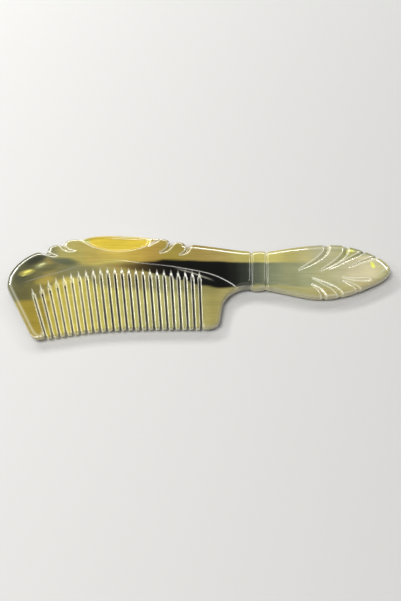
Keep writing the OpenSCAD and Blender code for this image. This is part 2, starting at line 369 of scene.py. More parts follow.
def inside(points, block=4000):
    """Whether each point lies inside the edge of the plate."""
    a, b = edge, np.roll(edge, -1, axis=0)
    found = np.zeros(len(points), bool)
    for start in range(0, len(points), block):
        x, y = points[start:start + block].T[..., None]
        crosses = (a[:, 1] > y) != (b[:, 1] > y)
        with np.errstate(divide="ignore", invalid="ignore"):
            at = a[:, 0] + (y - a[:, 1]) * (b[:, 0] - a[:, 0]) / (b[:, 1] - a[:, 1])
        found[start:start + block] = (crosses & (x < at)).sum(1) % 2 == 1
    return found


# ---- The height field: half the thickness at each point

def slot_distance(points):
    """Distance from the nearest slot, with where the point lies across and up that slot."""
    off = points[:, None] - slot_root
    up = (off * slot_up).sum(2)
    over = (off * slot_right).sum(2)
    distance = np.hypot(over, np.maximum(up, 0)) - SLOT_W / 2
    k = np.abs(distance).argmin(1)
    rows = np.arange(len(points))
    return distance[rows, k], over[rows, k], up[rows, k]


class Cut:
    """A V cut: its line, and the field of its depth."""

    def __init__(self, points, depth, left, right):
        self.line = smooth(points, 0.4)
        self.depth, self.left, self.right = depth, left, right

    def opening(self, place):
        """How wide and deep the cut is at a place along it, from 0 at its shallow end to 1."""
        share = place / (len(self.line) - 1)
        return np.sqrt(np.clip(share * 1.25, 0, 1)) * (1 - 0.2 * (1 - share))

    def carve(self, points):
        """The cut's depth at each point, and how near the point is to the cut's lips."""
        low = self.line.min(0) - CUT_REACH
        high = self.line.max(0) + CUT_REACH
        near = ((points > low) & (points < high)).all(1)
        depth, lips = np.zeros(len(points)), np.zeros(len(points))
        if near.any():
            distance, place, over = nearest_on(points[near], self.line)
            size = self.opening(place)
            wall = np.where(over > 0, self.right, self.left) * np.maximum(size, 0.05)
            soft = CUT_SOFT / np.maximum(wall, 0.3)
            rise = soft_ramp(1 - np.hypot(distance / wall, soft), soft * 0.6)
            depth[near] = self.depth * size * rise
            lips[near] = bump(distance - wall, LIP_W) * smoothstep(0, 0.3, size)
        return depth, lips


cuts = [Cut(*c) for c in SCROLL_CUTS + VEINS]


def blade_half(y):
    """Half the blade's thickness: level in the band, tapering to the tooth tips."""
    taper = soft_ramp(-y, 1.0) / -SLOT_END_Y
    return BAND / 2 - (BAND - TIP) / 2 * taper


def uncarved(x, y, above):
    """Half the thickness before any carving, with a painted highlight along the crease. The blade
    tapers to the tips, the spine stands above it, and the crease between them dies out on the left."""
    blade = blade_half(y)
    right_of_blade = smoothstep(*BLADE_ENDS, x)
    crisp = smoothstep(*CREASE_CRISP, x)
    step = smoothstep(0, CREASE_W + CREASE_FADE_W * (1 - crisp), above)
    slope = smoothstep(0, CREASE_SLOPE_W, above)
    raised = np.maximum(CREASE_STEP * step + (1 - CREASE_STEP) * slope, right_of_blade)
    # A painted highlight along the crease: fainter between x -58 and -18, and gone at the far left
    # and right of x 22
    strength = 0.08 + 0.14 * smoothstep(-18, -8, x) + 0.14 * smoothstep(-58, -68, x)
    light = strength * bump(above - CREASE_W * 2 / 3, CREASE_LIGHT_W) * crisp * (1 - right_of_blade)
    return blade + (THICK / 2 - blade) * raised, light


def branch(points, x):
    """The second, finer crease that lies under the first one before the neck."""
    below = nearest_on(points, branch_line)[2]
    share = smoothstep(*BRANCH_BEGINS, x) * smoothstep(*BRANCH_ENDS, x)
    step = smoothstep(-BRANCH_W / 2, BRANCH_W / 2, below) * smoothstep(*BRANCH_FADE, below)
    # The branch's step, and a painted highlight along it
    return BRANCH_DROP * share * step, share * pale_line(below, BRANCH_LIGHT)


def rims(points, x, y, h):
    """The edge all round: bevelled, then rounded. The bevel is softer along the underside."""
    d_edge, place, _ = nearest_on(points, outer_line)
    width = np.interp(place, np.arange(len(outer_bevel)), outer_bevel)
    # From the teeth to the handle's tip, the underside is what lies below this height
    under_y = 3 + 4 * smoothstep(15, 25, x)
    underside = smoothstep(-6, -3, x) * smoothstep(under_y, under_y - 3, y)
    bevel = soft_ramp(1 - d_edge / width, 0.15 + 0.2 * underside)
    rim_r = EDGE_ROUND * h
    drop = EDGE_BEVEL * h * bevel + rim_r * quarter_round(1 - d_edge / rim_r)
    # Painted highlights at the edge and along the bevel's ridge, mostly left off the underside
    light = pale_line(d_edge, RIM_LIGHT)
    light += pale_line(d_edge - width, BEVEL_LIGHT) * (1 - 0.8 * underside)
    return drop, light, d_edge


def slots(points):
    """The slots' rounded lips, and the groove where the saw has run out above each slot."""
    d_slot, over, up = slot_distance(points)
    run = np.clip(1 - (up - SLOT_W / 2) / RUNOUT_LEN, 0, 1) * (up > 0)
    across_run = np.hypot(over, 0.08) / (RUNOUT_W * np.sqrt(run) + 1e-3)
    groove = np.minimum(soft_ramp(1 - across_run, 0.04), 1) * (run > 0)
    drop = SLOT_LIP_R * quarter_round(1 - np.maximum(d_slot, 0) / SLOT_LIP_R)
    # Painted highlights along the slots' lips and down each run-out groove
    light = pale_line(d_slot, SLOT_LIGHT) + RUNOUT_LIGHT * np.sqrt(run) * groove
    return drop + RUNOUT_DEPTH * run * groove, light


def dish(points, x, y, d_edge):
    """The thumb dish: a steep narrow wall, and a floor that falls a little towards the crest,
    where a narrow rim closes it off."""
    within = DISH_R - np.linalg.norm(points - DISH_CENTRE, axis=1)
    before_end = DISH_END_X - DISH_END_LEAN * (DISH_END_Y - y) - x
    down_wall = soft_min(within, before_end, 0.3)
    bowl = DISH_DEPTH * soft_min(soft_ramp(down_wall / DISH_WALL_W, 0.03), 1, 0.05)
    bowl += DISH_FALL * soft_ramp(down_wall, 0.2)
    rim = DISH_RIM_SLOPE * soft_ramp(d_edge - DISH_RIM_W, 0.12)
    drop = np.maximum(soft_min(bowl, rim, 0.1), 0) * (within > -2)
    # Painted highlights along the dish's edge, strongest at its two ends, and down the wall that
    # ends it
    strength = 0.25 + 0.55 * smoothstep(-52, -56, x) + 0.4 * smoothstep(-34, -28, x)
    light = strength * bump(within, DISH_LIGHT_W) * smoothstep(-20.5, -23, x)
    light += pale_line(before_end, DISH_END_LIGHT) * (within > 0) * (x > -30)
    return drop, light


def surface(points):
    """Half the plate's thickness at each point, and the painted highlights along its lips, rims,
    creases, cuts and dish.
    """
    x, y = points.T
    h, light = uncarved(x, y, -nearest_on(points, crease_line)[2])
    drop, more = branch(points, x)
    h, light = h - drop, light + more
    drop, more, d_edge = rims(points, x, y, h)
    light += more
    for deeper, more in (slots(points), dish(points, x, y, d_edge)):
        drop, light = drop + deeper, light + more
    for ring in RINGS:
        away = nearest_on(points, np.array(ring, float))[0]
        drop += RING_DEPTH * smoothstep(0, 1, soft_ramp(1 - away / RING_W, 0.08))
    carved = [cut.carve(points) for cut in cuts]
    drop += np.max([depth for depth, _ in carved], axis=0)
    # Painted highlights along the cuts' lips
    light += CUT_LIGHT * np.max([lips for _, lips in carved], axis=0)
    return np.maximum(h - drop, LEAST_LEFT * h), np.clip(light, 0, 1)


def slope_normals(points, step=0.03):
    """The upper face's normal at each point, from the slope of the height field."""
    dx, dy = np.array([step, 0]), np.array([0, step])
    gx = (surface(points + dx)[0] - surface(points - dx)[0]) / (2 * step)
    gy = (surface(points + dy)[0] - surface(points - dy)[0]) / (2 * step)
    return unit(np.column_stack([-gx, -gy, np.ones(len(points))]))


# ---- Points of the mesh

class Points:
    """Mesh points with none too close to another: the first to be added stay."""

    def __init__(self):
        self.kept, self.cells, self.cell_size = [], {}, 0.5

    def add(self, points, room):
        """Keeps the points that have this much room."""
        for x, y in points:
            i, j = int(x // self.cell_size), int(y // self.cell_size)
            if not self.taken(x, y, i, j, room):
                self.cells.setdefault((i, j), []).append((x, y, room))
                self.kept.append((x, y))

    def taken(self, x, y, i, j, room):
        """Whether a kept point is too close, where each point asks for its own room."""
        for a in (i - 1, i, i + 1):
            for b in (j - 1, j, j + 1):
                for px, py, other_room in self.cells.get((a, b), ()):
                    if (px - x)**2 + (py - y)**2 < min(room, other_room)**2:
                        return True
        return False


def row_beside(line, off):
    """A row of points beside a line, at a distance to the line's right."""
    return line + right_of(unit(np.gradient(line, axis=0))) * off


def free(points, away=0.05):
    """The points that are inside the plate and not on its edge."""
    points = points[inside(points)]
    return points[nearest_on(points, edge_loop)[0] > away]


def add_edge_rows(store):
    """Rows along the outer edge: close together on its round, wider apart on its bevel."""
    def edge_row(off):
        row = row_beside(outer_line, off)
        return row[nearest_on(row, outer_line)[0] > off * 0.97]

    rim_r = EDGE_ROUND * THICK / 2
    for angle in RIM_ANGLES:
        store.add(free(edge_row(rim_r * (1 - math.cos(angle))), 0.03), 0.12)
    for off in BEVEL_ROWS:
        store.add(free(edge_row(off)), 0.3)


def add_slot_rows(store):
    """Rows round the end of each slot, along its run-out, and down the two guard teeth."""
    for i in range(TEETH + 1):
        for angle in RIM_ANGLES:
            grown = 1 + SLOT_LIP_R * (1 - math.cos(angle)) / (SLOT_W / 2)
            store.add(free(slot_root[i] + (slot_arc(i) - slot_root[i]) * grown, 0.03), 0.05)
        for up in np.arange(0.9, RUNOUT_LEN + 1, 0.35):
            for over in RUNOUT_ROWS:
                p = slot_root[i] + slot_up[i] * up + slot_right[i] * over
                store.add(free(p[None]), 0.1)
    down = np.arange(0.4, 30, 0.9)[:, None]
    for i, side in ((0, -1), (TEETH, 1)):
        for angle in RIM_ANGLES:
            off = SLOT_W / 2 + SLOT_LIP_R * (1 - math.cos(angle))
            row = slot_root[i] - slot_up[i] * down + side * slot_right[i] * off
            store.add(free(row, 0.03), 0.1)


def add_carving_rows(store):
    """Rows along the creases, the rings, the cuts and the dish's wall."""
    for off in CREASE_ROWS:
        store.add(free(row_beside(crease_line, off)), 0.15)
    for off in BRANCH_ROWS:
        store.add(free(row_beside(branch_line, off)), 0.12)
    for ring in RINGS:
        line = resample(np.array(ring, float), LINE_STEP)
        for off in RING_ROWS:
            for side in (1, -1):
                store.add(free(row_beside(line, side * off)), 0.12)
    for cut in cuts:
        size = cut.opening(np.arange(len(cut.line)))[:, None]
        for share in CUT_ROWS:
            for wall in (cut.right, -cut.left):
                store.add(free(row_beside(cut.line, size * wall * share)), 0.1)
    turn = np.radians(np.arange(220, 320, 0.9))
    circle = np.column_stack([np.cos(turn), np.sin(turn)])
    for off in DISH_ROWS:
        store.add(free(np.array(DISH_CENTRE) + (DISH_R + off) * circle), 0.15)


def mesh_points():
    """The points of one face: its edge, the rows beside every line, and an even grid between."""
    store = Points()
    store.add(edge, 0.0)
    add_edge_rows(store)
    add_slot_rows(store)
    add_carving_rows(store)
    low, high = edge.min(0), edge.max(0)
    rows = np.arange(low[1], high[1], COARSE_STEP * math.sqrt(0.75))
    for k, y in enumerate(rows):
        x = np.arange(low[0] + (k % 2) * COARSE_STEP / 2, high[0], COARSE_STEP)
        store.add(free(np.column_stack([x, np.full(len(x), y)]), 0.3), COARSE_STEP * 0.62)
    return store.kept


# ---- Triangles, divided among the pieces

LEFT_JOINT = slot_root[0, 0] - SLOT_W
RIGHT_JOINT = slot_root[-1, 0] + SLOT_W


def clipped(line):
    """The part of a line inside the plate, with one more point at each end."""
    keep = inside(line)
    grown = keep.copy()
    grown[1:] |= keep[:-1]
    grown[:-1] |= keep[1:]
    return line[grown]


def triangulate():
    """One face's points and triangles, which keep to the lines that divide the pieces."""
    points = mesh_points()
    count = len(edge)
    edges = []

    def constrain(line):
        start = len(points)
        points.extend(map(tuple, line))
        edges.extend((start + k, start + k + 1) for k in range(len(line) - 1))

    constrain(clipped(crease_line))
    for ring in RINGS:
        constrain(clipped(resample(np.array(ring, float), LINE_STEP)))
    for x, lip in ((LEFT_JOINT, left_lip[0]), (RIGHT_JOINT, right_lip[-1])):
        low = height_on(roots_line, x)
        high = height_on(crease_line, x)
        constrain(resample(np.array([(x, low), (x, high)]), LINE_STEP))
        constrain(np.array([lip, (x, low)]))
    loop = list(range(count))
    found = delaunay_2d_cdt([Vector(p) for p in points], edges, [loop], 1, 1e-6)
    return np.array([tuple(v) for v in found[0]]), np.array(found[2])


flat, triangles = triangulate()


def side_of_ring(points, ring):
    (x0, y0), (x1, y1) = ring
    return points[:, 0] - (x0 + (x1 - x0) * (points[:, 1] - y0) / (y1 - y0))


def node_of(points):
    """The CAD node that each point belongs to."""
    x, y = points.T
    under = y < height_on(crease_line, x)
    body = np.where(under, "root_band", "spine").astype(object)
    body[under & (x < LEFT_JOINT)] = "front_guard_tooth"
    body[under & (x > RIGHT_JOINT)] = "rear_guard_tooth"
    # A triangle of a guard tooth that reaches past the joint still lies under the roots
    past_joint, touch = 4, 0.02
    low = under & (y < height_on(roots_line, x) + touch)
    body[low & (x < slot_root[0, 0] + past_joint)] = "front_guard_tooth"
    body[low & (x > slot_root[-1, 0] - past_joint)] = "rear_guard_tooth"
    body[side_of_ring(points, RINGS[0]) > 0] = "neck_collar"
    body[side_of_ring(points, RINGS[1]) > 0] = "handle"
    return body


# All triangles turn the same way, anticlockwise
corner = flat[triangles]
turned = np.cross(corner[:, 1] - corner[:, 0], corner[:, 2] - corner[:, 0]) < 0
triangles[turned] = triangles[turned][:, ::-1]
labels = node_of(corner.mean(1))
height, face_light = surface(flat)
normal = slope_normals(flat)

# The straight walls of the slots get a painted glow
off_slot, _, up_slot = slot_distance(flat)
slot_wall = (np.abs(off_slot) < 0.01) & (up_slot < -0.5)

# On the rim the face has turned to vertical, but for the seams with the fine teeth
loop_distance, loop_place, _ = nearest_on(flat, edge_loop)
on_rim = loop_distance < 1e-4
is_seam = np.r_[edge_is_seam, edge_is_seam[:1]]
on_seam = on_rim & is_seam[np.floor(loop_place + 1e-6).astype(int)]
on_seam |= on_rim & is_seam[np.ceil(loop_place - 1e-6).astype(int)]
outward = -right_of(unit(np.roll(edge, -1, axis=0) - np.roll(edge, 1, axis=0)))
rim_normal = outward[np.round(loop_place).astype(int) % len(edge)]
wall_vertex = on_rim & ~on_seam
normal[wall_vertex] = np.column_stack([rim_normal[wall_vertex], np.zeros(wall_vertex.sum())])


# ---- Objects

def slot_wall_glow(x):
    """How much painted glow a slot's walls get: most at the left end."""
    return SLOT_WALL_GLOW_STRENGTH * smoothstep(*SLOT_WALL_GLOW_SPAN, x)


def new_object(name, data):
    item = bpy.data.objects.new(name, data)
    bpy.context.scene.collection.objects.link(item)
    return item


def new_mesh(name, vertices, faces):
    mesh = bpy.data.meshes.new(name)
    mesh.from_pydata([tuple(v) for v in vertices], [], [list(map(int, f)) for f in faces])
    mesh.update()
    return mesh


def new_piece(node, vertices, faces, light):
    """The visible piece of a CAD node. Each vertex keeps its painted light: above 0 a highlight on
    a lip or rim, above 1 a glow, and below 0 shade down a tooth's middle."""
    name = node + "_horn"
    mesh = new_mesh(name, np.asarray(vertices) * MM, faces)
    mesh.shade_smooth()
    painted_light = mesh.attributes.new("painted_light", "FLOAT", "POINT")
    painted_light.data.foreach_set("value", np.asarray(light, np.float32))
    mesh.materials.append(horn)
    piece = new_object(name, mesh)
    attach(piece, "root")
    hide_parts(node)
    return mesh


def add_region(node):
    """One region of the plate as a closed piece: two carved faces and the walls between them."""
    mine = triangles[labels == node]
    used, back = np.unique(mine, return_inverse=True)
    tri = back.reshape(mine.shape)
    count = len(used)
    top = np.column_stack([flat[used], MID_Z + height[used]])
    base = np.column_stack([flat[used], MID_Z - height[used]])
    half_edges = {(a, b) for t in tri for a, b in ((t[0], t[1]), (t[1], t[2]), (t[2], t[0]))}
    rim = [(a, b) for a, b in half_edges if (b, a) not in half_edges]
    walls = [(a, a + count, b + count, b) for a, b in sorted(rim)]
    faces = [tuple(t) for t in tri] + [tuple(t[::-1] + count) for t in tri] + walls
    out = np.tile(face_light[used] + slot_wall_glow(flat[used, 0]) * slot_wall[used], 2)
    mesh = new_piece(node, np.vstack([top, base]), faces, out)

    # The faces shade as the relief slopes. A wall shades across, smoothly round the outer rim.
    both = np.vstack([normal[used], normal[used] * (1, 1, -1)])
    loops = [n for f in faces[:2 * len(tri)] for n in both[list(f)]]
    for wall in walls:
        a, b = used[wall[0]], used[wall[3]]
        if wall_vertex[a] or wall_vertex[b]:
            loops.extend(both[list(wall)] * (1, 1, 0))
        else:
            across_wall = right_of(unit(flat[b] - flat[a]))
            loops.extend([(*across_wall, 0)] * 4)
    mesh.normals_split_custom_set([tuple(n) for n in loops])


# A tooth is a tube of cross-sections: even ones down to its tip's round, then some by their angle
TOOTH_SECTIONS = 24
TIP_ANGLES = np.radians([12, 24, 36, 47, 58, 68, 77, 84])
TIP_FULLNESS = 0.8     # a power under 1 keeps the tip thick until close to its end
CROWN = 0.07           # how much the tip's face is crowned, as a share of its thickness


def tooth_sections(i):
    """The cross-sections of fine tooth i + 1: left end, right end, how much the tip's round has
    thinned it, and how far down the tooth it stands, up to 1 where the tip's round begins."""
    side = -right_of(tooth_down[i])
    centre = tip_of(i) - tooth_down[i] * tip_r
    tops = (right_lip[i], left_lip[i + 1])
    ends = (centre - side * tip_r, centre + side * tip_r)
    for f in np.linspace(0, 1, TOOTH_SECTIONS):
        left, right = (top * (1 - f) + end * f for top, end in zip(tops, ends))
        yield left, right, 1.0, f
    for angle in TIP_ANGLES:
        middle = centre + tooth_down[i] * tip_r * math.sin(angle)
        reach = side * tip_r * math.cos(angle)
        yield middle - reach, middle + reach, math.cos(angle)**TIP_FULLNESS, 1.0


def add_tooth(i):
    """Fine tooth i + 1: tapered, its edges rounded, and its tip rounded both ways."""
    share = across()
    # Painted highlights along the tooth's edges and at its tip, painted shade down its middle, and
    # a painted glow on its side walls
    lit_edge = pale_line(np.maximum((1 - np.abs(share)) * tip_r - 0.12, 0), TOOTH_LIGHT)
    rings, light = [], []
    for left, right, squash, f in tooth_sections(i):
        row = (left + right) / 2 + share[:, None] * (right - left) / 2
        radius = SLOT_ROUND * np.linalg.norm(right - left) / 2 / max(squash, 0.3)
        crown = CROWN * f * share**2
        h = (blade_half(row[:, 1]) * (1 - crown) - radius * tooth_rim(share)) * squash
        rings += [np.column_stack([row, MID_Z + h]), np.column_stack([row, MID_Z - h])[::-1]]
        lit = lit_edge - TOOTH_PAINTED_SHADE * bump(share, TOOTH_PAINTED_SHADE_W) * smoothstep(0, 0.15, f)
        lit += slot_wall_glow(left[0]) * (np.abs(share) > 0.999) * (f < 1)
        light.extend(np.r_[lit, lit[::-1]])
    vertices = np.vstack(rings + [np.array([[*tip_of(i), MID_Z]])])

    size = 2 * len(share)
    tip = len(vertices) - 1
    faces = []
    for start in range(0, tip - size, size):
        for m in range(size):
            n = (m + 1) % size
            faces.append((start + m, start + size + m, start + size + n, start + n))
    faces += [(tip - size + m, tip, tip - size + (m + 1) % size) for m in range(size)]
    faces.append(range(size))
    mesh = new_piece(f"tooth_{i + 1:02d}", vertices, faces, light + [TIP_LIGHT])

    # The flat end at the root meets the band, so it shades on its own
    mesh.polygons[len(faces) - 1].use_smooth = False
    root_edges = {tuple(sorted((m, (m + 1) % size))) for m in range(size)}
    for mesh_edge in mesh.edges:
        if tuple(sorted(mesh_edge.vertices)) in root_edges:
            mesh_edge.use_edge_sharp = True


# ---- Material

def srgb(red, green, blue):
    """A colour given in 0 to 255, as Blender's linear one."""
    def linear(v):
        v /= 255
        return v / 12.92 if v <= 0.04045 else ((v + 0.055) / 1.055)**2.4
    return (linear(red), linear(green), linear(blue), 1.0)


class Tree:
    """A material's nodes, built by short calls."""

    def __init__(self, name):
        self.material = bpy.data.materials.new(name)
        self.material.use_nodes = True
        self.nodes = self.material.node_tree.nodes
        self.links = self.material.node_tree.links
        self.nodes.clear()

    def node(self, kind, **settings):
        node = self.nodes.new(kind)
        for key, value in settings.items():
            setattr(node, key, value)
        return node

    def surface(self, **values):
        """A Principled shader with these inputs, as the material's surface."""
        shader = self.node("ShaderNodeBsdfPrincipled")
        for name, value in values.items():
            self.plug(shader.inputs[name.replace("_", " ")], value)
        self.plug(self.node("ShaderNodeOutputMaterial").inputs["Surface"], shader.outputs[0])

    def plug(self, socket, value):
        if isinstance(value, bpy.types.NodeSocket):
            self.links.new(value, socket)
        else:
            socket.default_value = value

    def math(self, operation, *values, clamp=False):
        node = self.node("ShaderNodeMath", operation=operation, use_clamp=clamp)
        for socket, value in zip(node.inputs, values):
            self.plug(socket, value)
        return node.outputs[0]

    def times(self, a, b, clamp=False):
        return self.math("MULTIPLY", a, b, clamp=clamp)

    def minus(self, a, b, clamp=False):
        return self.math("SUBTRACT", a, b, clamp=clamp)

    def step(self, value, low, high):
        """0 below low, 1 above high, smooth between."""
        node = self.node("ShaderNodeMapRange", interpolation_type="SMOOTHSTEP")
        for name, v in (("Value", value), ("From Min", low), ("From Max", high)):
            self.plug(node.inputs[name], v)
        return node.outputs[0]

    def ramp(self, value, stops):
        node = self.node("ShaderNodeValToRGB")
        node.color_ramp.interpolation = "EASE"
        elements = node.color_ramp.elements
        while len(elements) < len(stops):
            elements.new(0.5)
        for element, (place, colour) in zip(elements, sorted(stops)):
            element.position = place
            element.color = colour
        self.plug(node.inputs[0], value)
        return node.outputs[0]

    def noise(self, vector, scale, detail=3.0, rough=0.5):
        mapping = self.node("ShaderNodeMapping")
        self.plug(mapping.inputs["Vector"], vector)
        mapping.inputs["Scale"].default_value = scale
        node = self.node("ShaderNodeTexNoise")
        self.plug(node.inputs["Vector"], mapping.outputs[0])
        node.inputs["Scale"].default_value = 1.0
        node.inputs["Detail"].default_value = detail
        node.inputs["Roughness"].default_value = rough
        return node.outputs[0]

    def mix(self, share, a, b, mode="MIX"):
        node = self.node("ShaderNodeMix", data_type="RGBA", blend_type=mode)
        self.plug(node.inputs["Factor"], share)
        self.plug(node.inputs[6], a)
        self.plug(node.inputs[7], b)
        return node.outputs[2]


# Places along the comb are given in millimetres and turned into shares of this span
SPAN = 96.0


def share_of(mm):
    return (mm + SPAN) / (2 * SPAN)


class Horn:
    """The horn's colour at a place, built up layer by layer. The layers wander a little along
    the plate, so they follow y, while what is cut or has a straight edge follows true_y."""

    def __init__(self, tree):
        self.tree = tree
        mm = tree.node("ShaderNodeVectorMath", operation="SCALE")
        tree.plug(mm.inputs[0], tree.node("ShaderNodeTexCoord").outputs["Object"])
        mm.inputs["Scale"].default_value = 1 / MM
        place = mm.outputs[0]
        split = tree.node("ShaderNodeSeparateXYZ")
        tree.plug(split.inputs[0], place)
        self.x, self.true_y = split.outputs[0], split.outputs[1]
        self.share = tree.math("MULTIPLY_ADD", self.x, 1 / (2 * SPAN), 0.5)
        wander = tree.noise(place, (0.035, 0.16, 0.3), 2.0)
        self.fibre = tree.noise(place, (0.05, 1.6, 1.2), 4.0, 0.6)
        self.cloud = tree.noise(place, (0.06, 0.14, 0.2), 3.0)
        y = tree.math("MULTIPLY_ADD", tree.minus(wander, 0.5), 2.6, self.true_y)
        self.y = tree.math("MULTIPLY_ADD", tree.minus(self.fibre, 0.5), 1.2, y)
        self.colour = None

    def colours(self, stops):
        """A colour that changes along the comb."""
        return self.tree.ramp(self.share, [(share_of(x), srgb(*c)) for x, c in stops])

    def shares(self, stops):
        """A share from 0 to 1 that changes along the comb."""
        return self.tree.ramp(self.share, [(share_of(x), (v, v, v, 1)) for x, v in stops])

    def line(self, stops):
        """A height in mm that changes along the comb."""
        grey = self.shares([(x, share_of(y)) for x, y in stops])
        return self.tree.math("MULTIPLY_ADD", grey, 2 * SPAN, -SPAN)

    def band(self, low, high, low_soft, high_soft):
        """1 between two heights, fading to 0 over the soft widths."""
        tree = self.tree
        over = tree.step(tree.minus(self.y, low), -low_soft / 2, low_soft / 2)
        under = tree.step(tree.minus(high, self.y), -high_soft / 2, high_soft / 2)
        return tree.times(over, under)

    def spot(self, centre, radii, degrees):
        """A soft oval patch."""
        tree = self.tree
        c, s = math.cos(math.radians(degrees)), math.sin(math.radians(degrees))
        dx, dy = tree.minus(self.x, centre[0]), tree.minus(self.y, centre[1])
        u = tree.math("MULTIPLY_ADD", dx, c / radii[0], tree.times(dy, s / radii[0]))
        v = tree.math("MULTIPLY_ADD", dx, -s / radii[1], tree.times(dy, c / radii[1]))
        r2 = tree.math("ADD", tree.times(u, u), tree.times(v, v))
        return tree.step(r2, 1.0, 0.0)

    def lay(self, mask, strength, colour):
        """Lays a colour over the horn where the mask is 1."""
        self.colour = self.tree.mix(self.tree.times(mask, strength), self.colour, colour)

    def spine_and_blade(self):
        """The spine's colours above the crease, and the blade's below it."""
        tree = self.tree
        spine = self.colours([
            (-94, (112, 112, 84)), (-84, (118, 116, 86)), (-76, (124, 120, 86)),
            (-70, (162, 153, 94)), (-62, (164, 152, 86)), (-55, (170, 151, 80)),
            (-43, (188, 165, 80)), (-34, (174, 149, 68)), (-24, (162, 136, 66)),
            (-16, (148, 132, 60)), (0, (151, 131, 72)), (10, (158, 140, 82)),
            (20, (172, 160, 93)), (30, (186, 176, 102)), (37, (182, 172, 102)),
            (44, (175, 164, 102)), (52, (176, 168, 118)), (60, (167, 164, 132)),
            (68, (172, 168, 130)), (76, (160, 158, 106)), (83, (152, 151, 116)),
            (92, (184, 181, 134))])
        blade = self.colours([
            (-94, (130, 124, 78)), (-84, (146, 134, 62)), (-78, (166, 149, 64)),
            (-73, (180, 163, 72)), (-60, (186, 171, 82)), (-45, (184, 173, 92)),
            (-32, (176, 168, 100)), (-15, (170, 164, 106)), (0, (154, 145, 90)),
            (4, (146, 137, 80)), (10, (154, 143, 90)), (20, (156, 147, 94))])
        crease_y = self.line(CREASE[:-1])
        below = tree.step(tree.minus(crease_y, self.true_y), -1.5, 1.5)
        self.colour = tree.mix(below, spine, blade)

    def smoke(self):
        """Smoke over the left end and along the roots."""
        top = self.line([
            (-96, 24), (-88, 19), (-78, 16), (-70, 12.6), (-62, 11.4), (-56, 11.6), (-43, 12.8),
            (-30, 11.6), (-15, 9), (0, 5)])
        low = self.line([
            (-96, -12), (-84, -12), (-79, -10.5), (-75.5, -8.5), (-72, 0.5), (-66, 3), (-58, 2.4),
            (-51, -2), (-44, -4), (-30, -5), (-14, -6), (2, -8)])
        strength = self.shares([
            (-96, 0.8), (-80, 0.85), (-66, 0.9), (-48, 0.8), (-30, 0.75), (-8, 0.75), (4, 0.3),
            (12, 0)])
        colour = self.colours([
            (-96, (86, 86, 64)), (-86, (80, 78, 54)), (-80, (99, 94, 60)), (-76, (134, 120, 66)),
            (-70, (112, 107, 74)), (-64, (108, 110, 82)), (-56, (108, 105, 78)),
            (-48, (130, 122, 80)), (-42, (138, 122, 72)), (-32, (112, 98, 58)),
            (-20, (118, 116, 82)), (0, (112, 106, 70))])
        self.lay(self.band(low, top, 5.0, 3.4), strength, colour)

    def ochre_guard(self):
        """The front guard is ochre below a straight line."""
        tree = self.tree
        mask = tree.times(tree.step(self.true_y, -9.4, -12.4), tree.step(self.x, -72.6, -74.4))
        self.lay(mask, 0.9, srgb(144, 126, 50))

    def dark_streak(self):
        """The dark streak runs from under the dish through the neck, and pales in the handle,
        where another strip lies below it."""
        tree = self.tree
        top = self.line([
            (-50, 12.8), (-41, 12.9), (-31, 12.9), (-25, 13.3), (-19, 14.6), (-8, 14.4), (6, 13.4),
            (22, 12.4), (40, 11.8), (60, 12), (72, 14), (84, 16), (96, 16)])
        low = self.line([
            (-50, 11.0), (-41, 9.4), (-31, 7.4), (-21, 4.6), (-11, 1.0), (-1, -2.8), (8, -4.2),
            (18, -3.6), (27, -2.6), (36, -2.8), (44, -3.8), (60, -4), (80, -1), (96, 5)])
        strength = self.shares([
            (-54, 0), (-44, 0.35), (-36, 0.8), (-28, 0.97), (-22, 1), (84, 1), (96, 0.7)])
        colour = self.colours([
            (-46, (138, 110, 54)), (-38, (96, 74, 36)), (-31, (62, 46, 22)), (-24, (26, 19, 11)),
            (-14, (11, 11, 8)), (10, (11, 11, 8)), (15, (24, 25, 20)), (21, (46, 50, 42)),
            (27, (90, 95, 78)), (33, (120, 125, 98)), (44, (142, 144, 108)), (52, (152, 154, 118)),
            (60, (163, 161, 121)), (68, (177, 172, 136)), (76, (194, 185, 152)),
            (84, (202, 193, 158)), (92, (192, 186, 142))])
        self.lay(self.band(low, top, 2.0, 2.4), strength, colour)
        strip = tree.times(tree.step(tree.minus(low, self.y), -1.2, 1.2), tree.step(self.x, 20, 30))
        strip_colour = self.colours([
            (20, (150, 140, 92)), (34, (146, 144, 106)), (44, (164, 160, 110)),
            (60, (172, 161, 108)), (68, (184, 175, 124)), (82, (196, 181, 134)),
            (92, (186, 178, 120))])
        self.lay(strip, 0.9, strip_colour)

    def yellow_dish(self):
        """The dish is cut into a yellow layer."""
        tree = self.tree
        off_x = tree.minus(self.x, DISH_CENTRE[0])
        off_y = tree.minus(self.true_y, DISH_CENTRE[1])
        off2 = tree.math("ADD", tree.times(off_x, off_x), tree.times(off_y, off_y))
        mask = tree.times(tree.step(off2, (DISH_R + 0.4)**2, (DISH_R - 1.6)**2),
                          tree.step(self.x, DISH_END_X + 1, DISH_END_X - 0.6))
        self.lay(mask, 0.95, srgb(208, 182, 62))

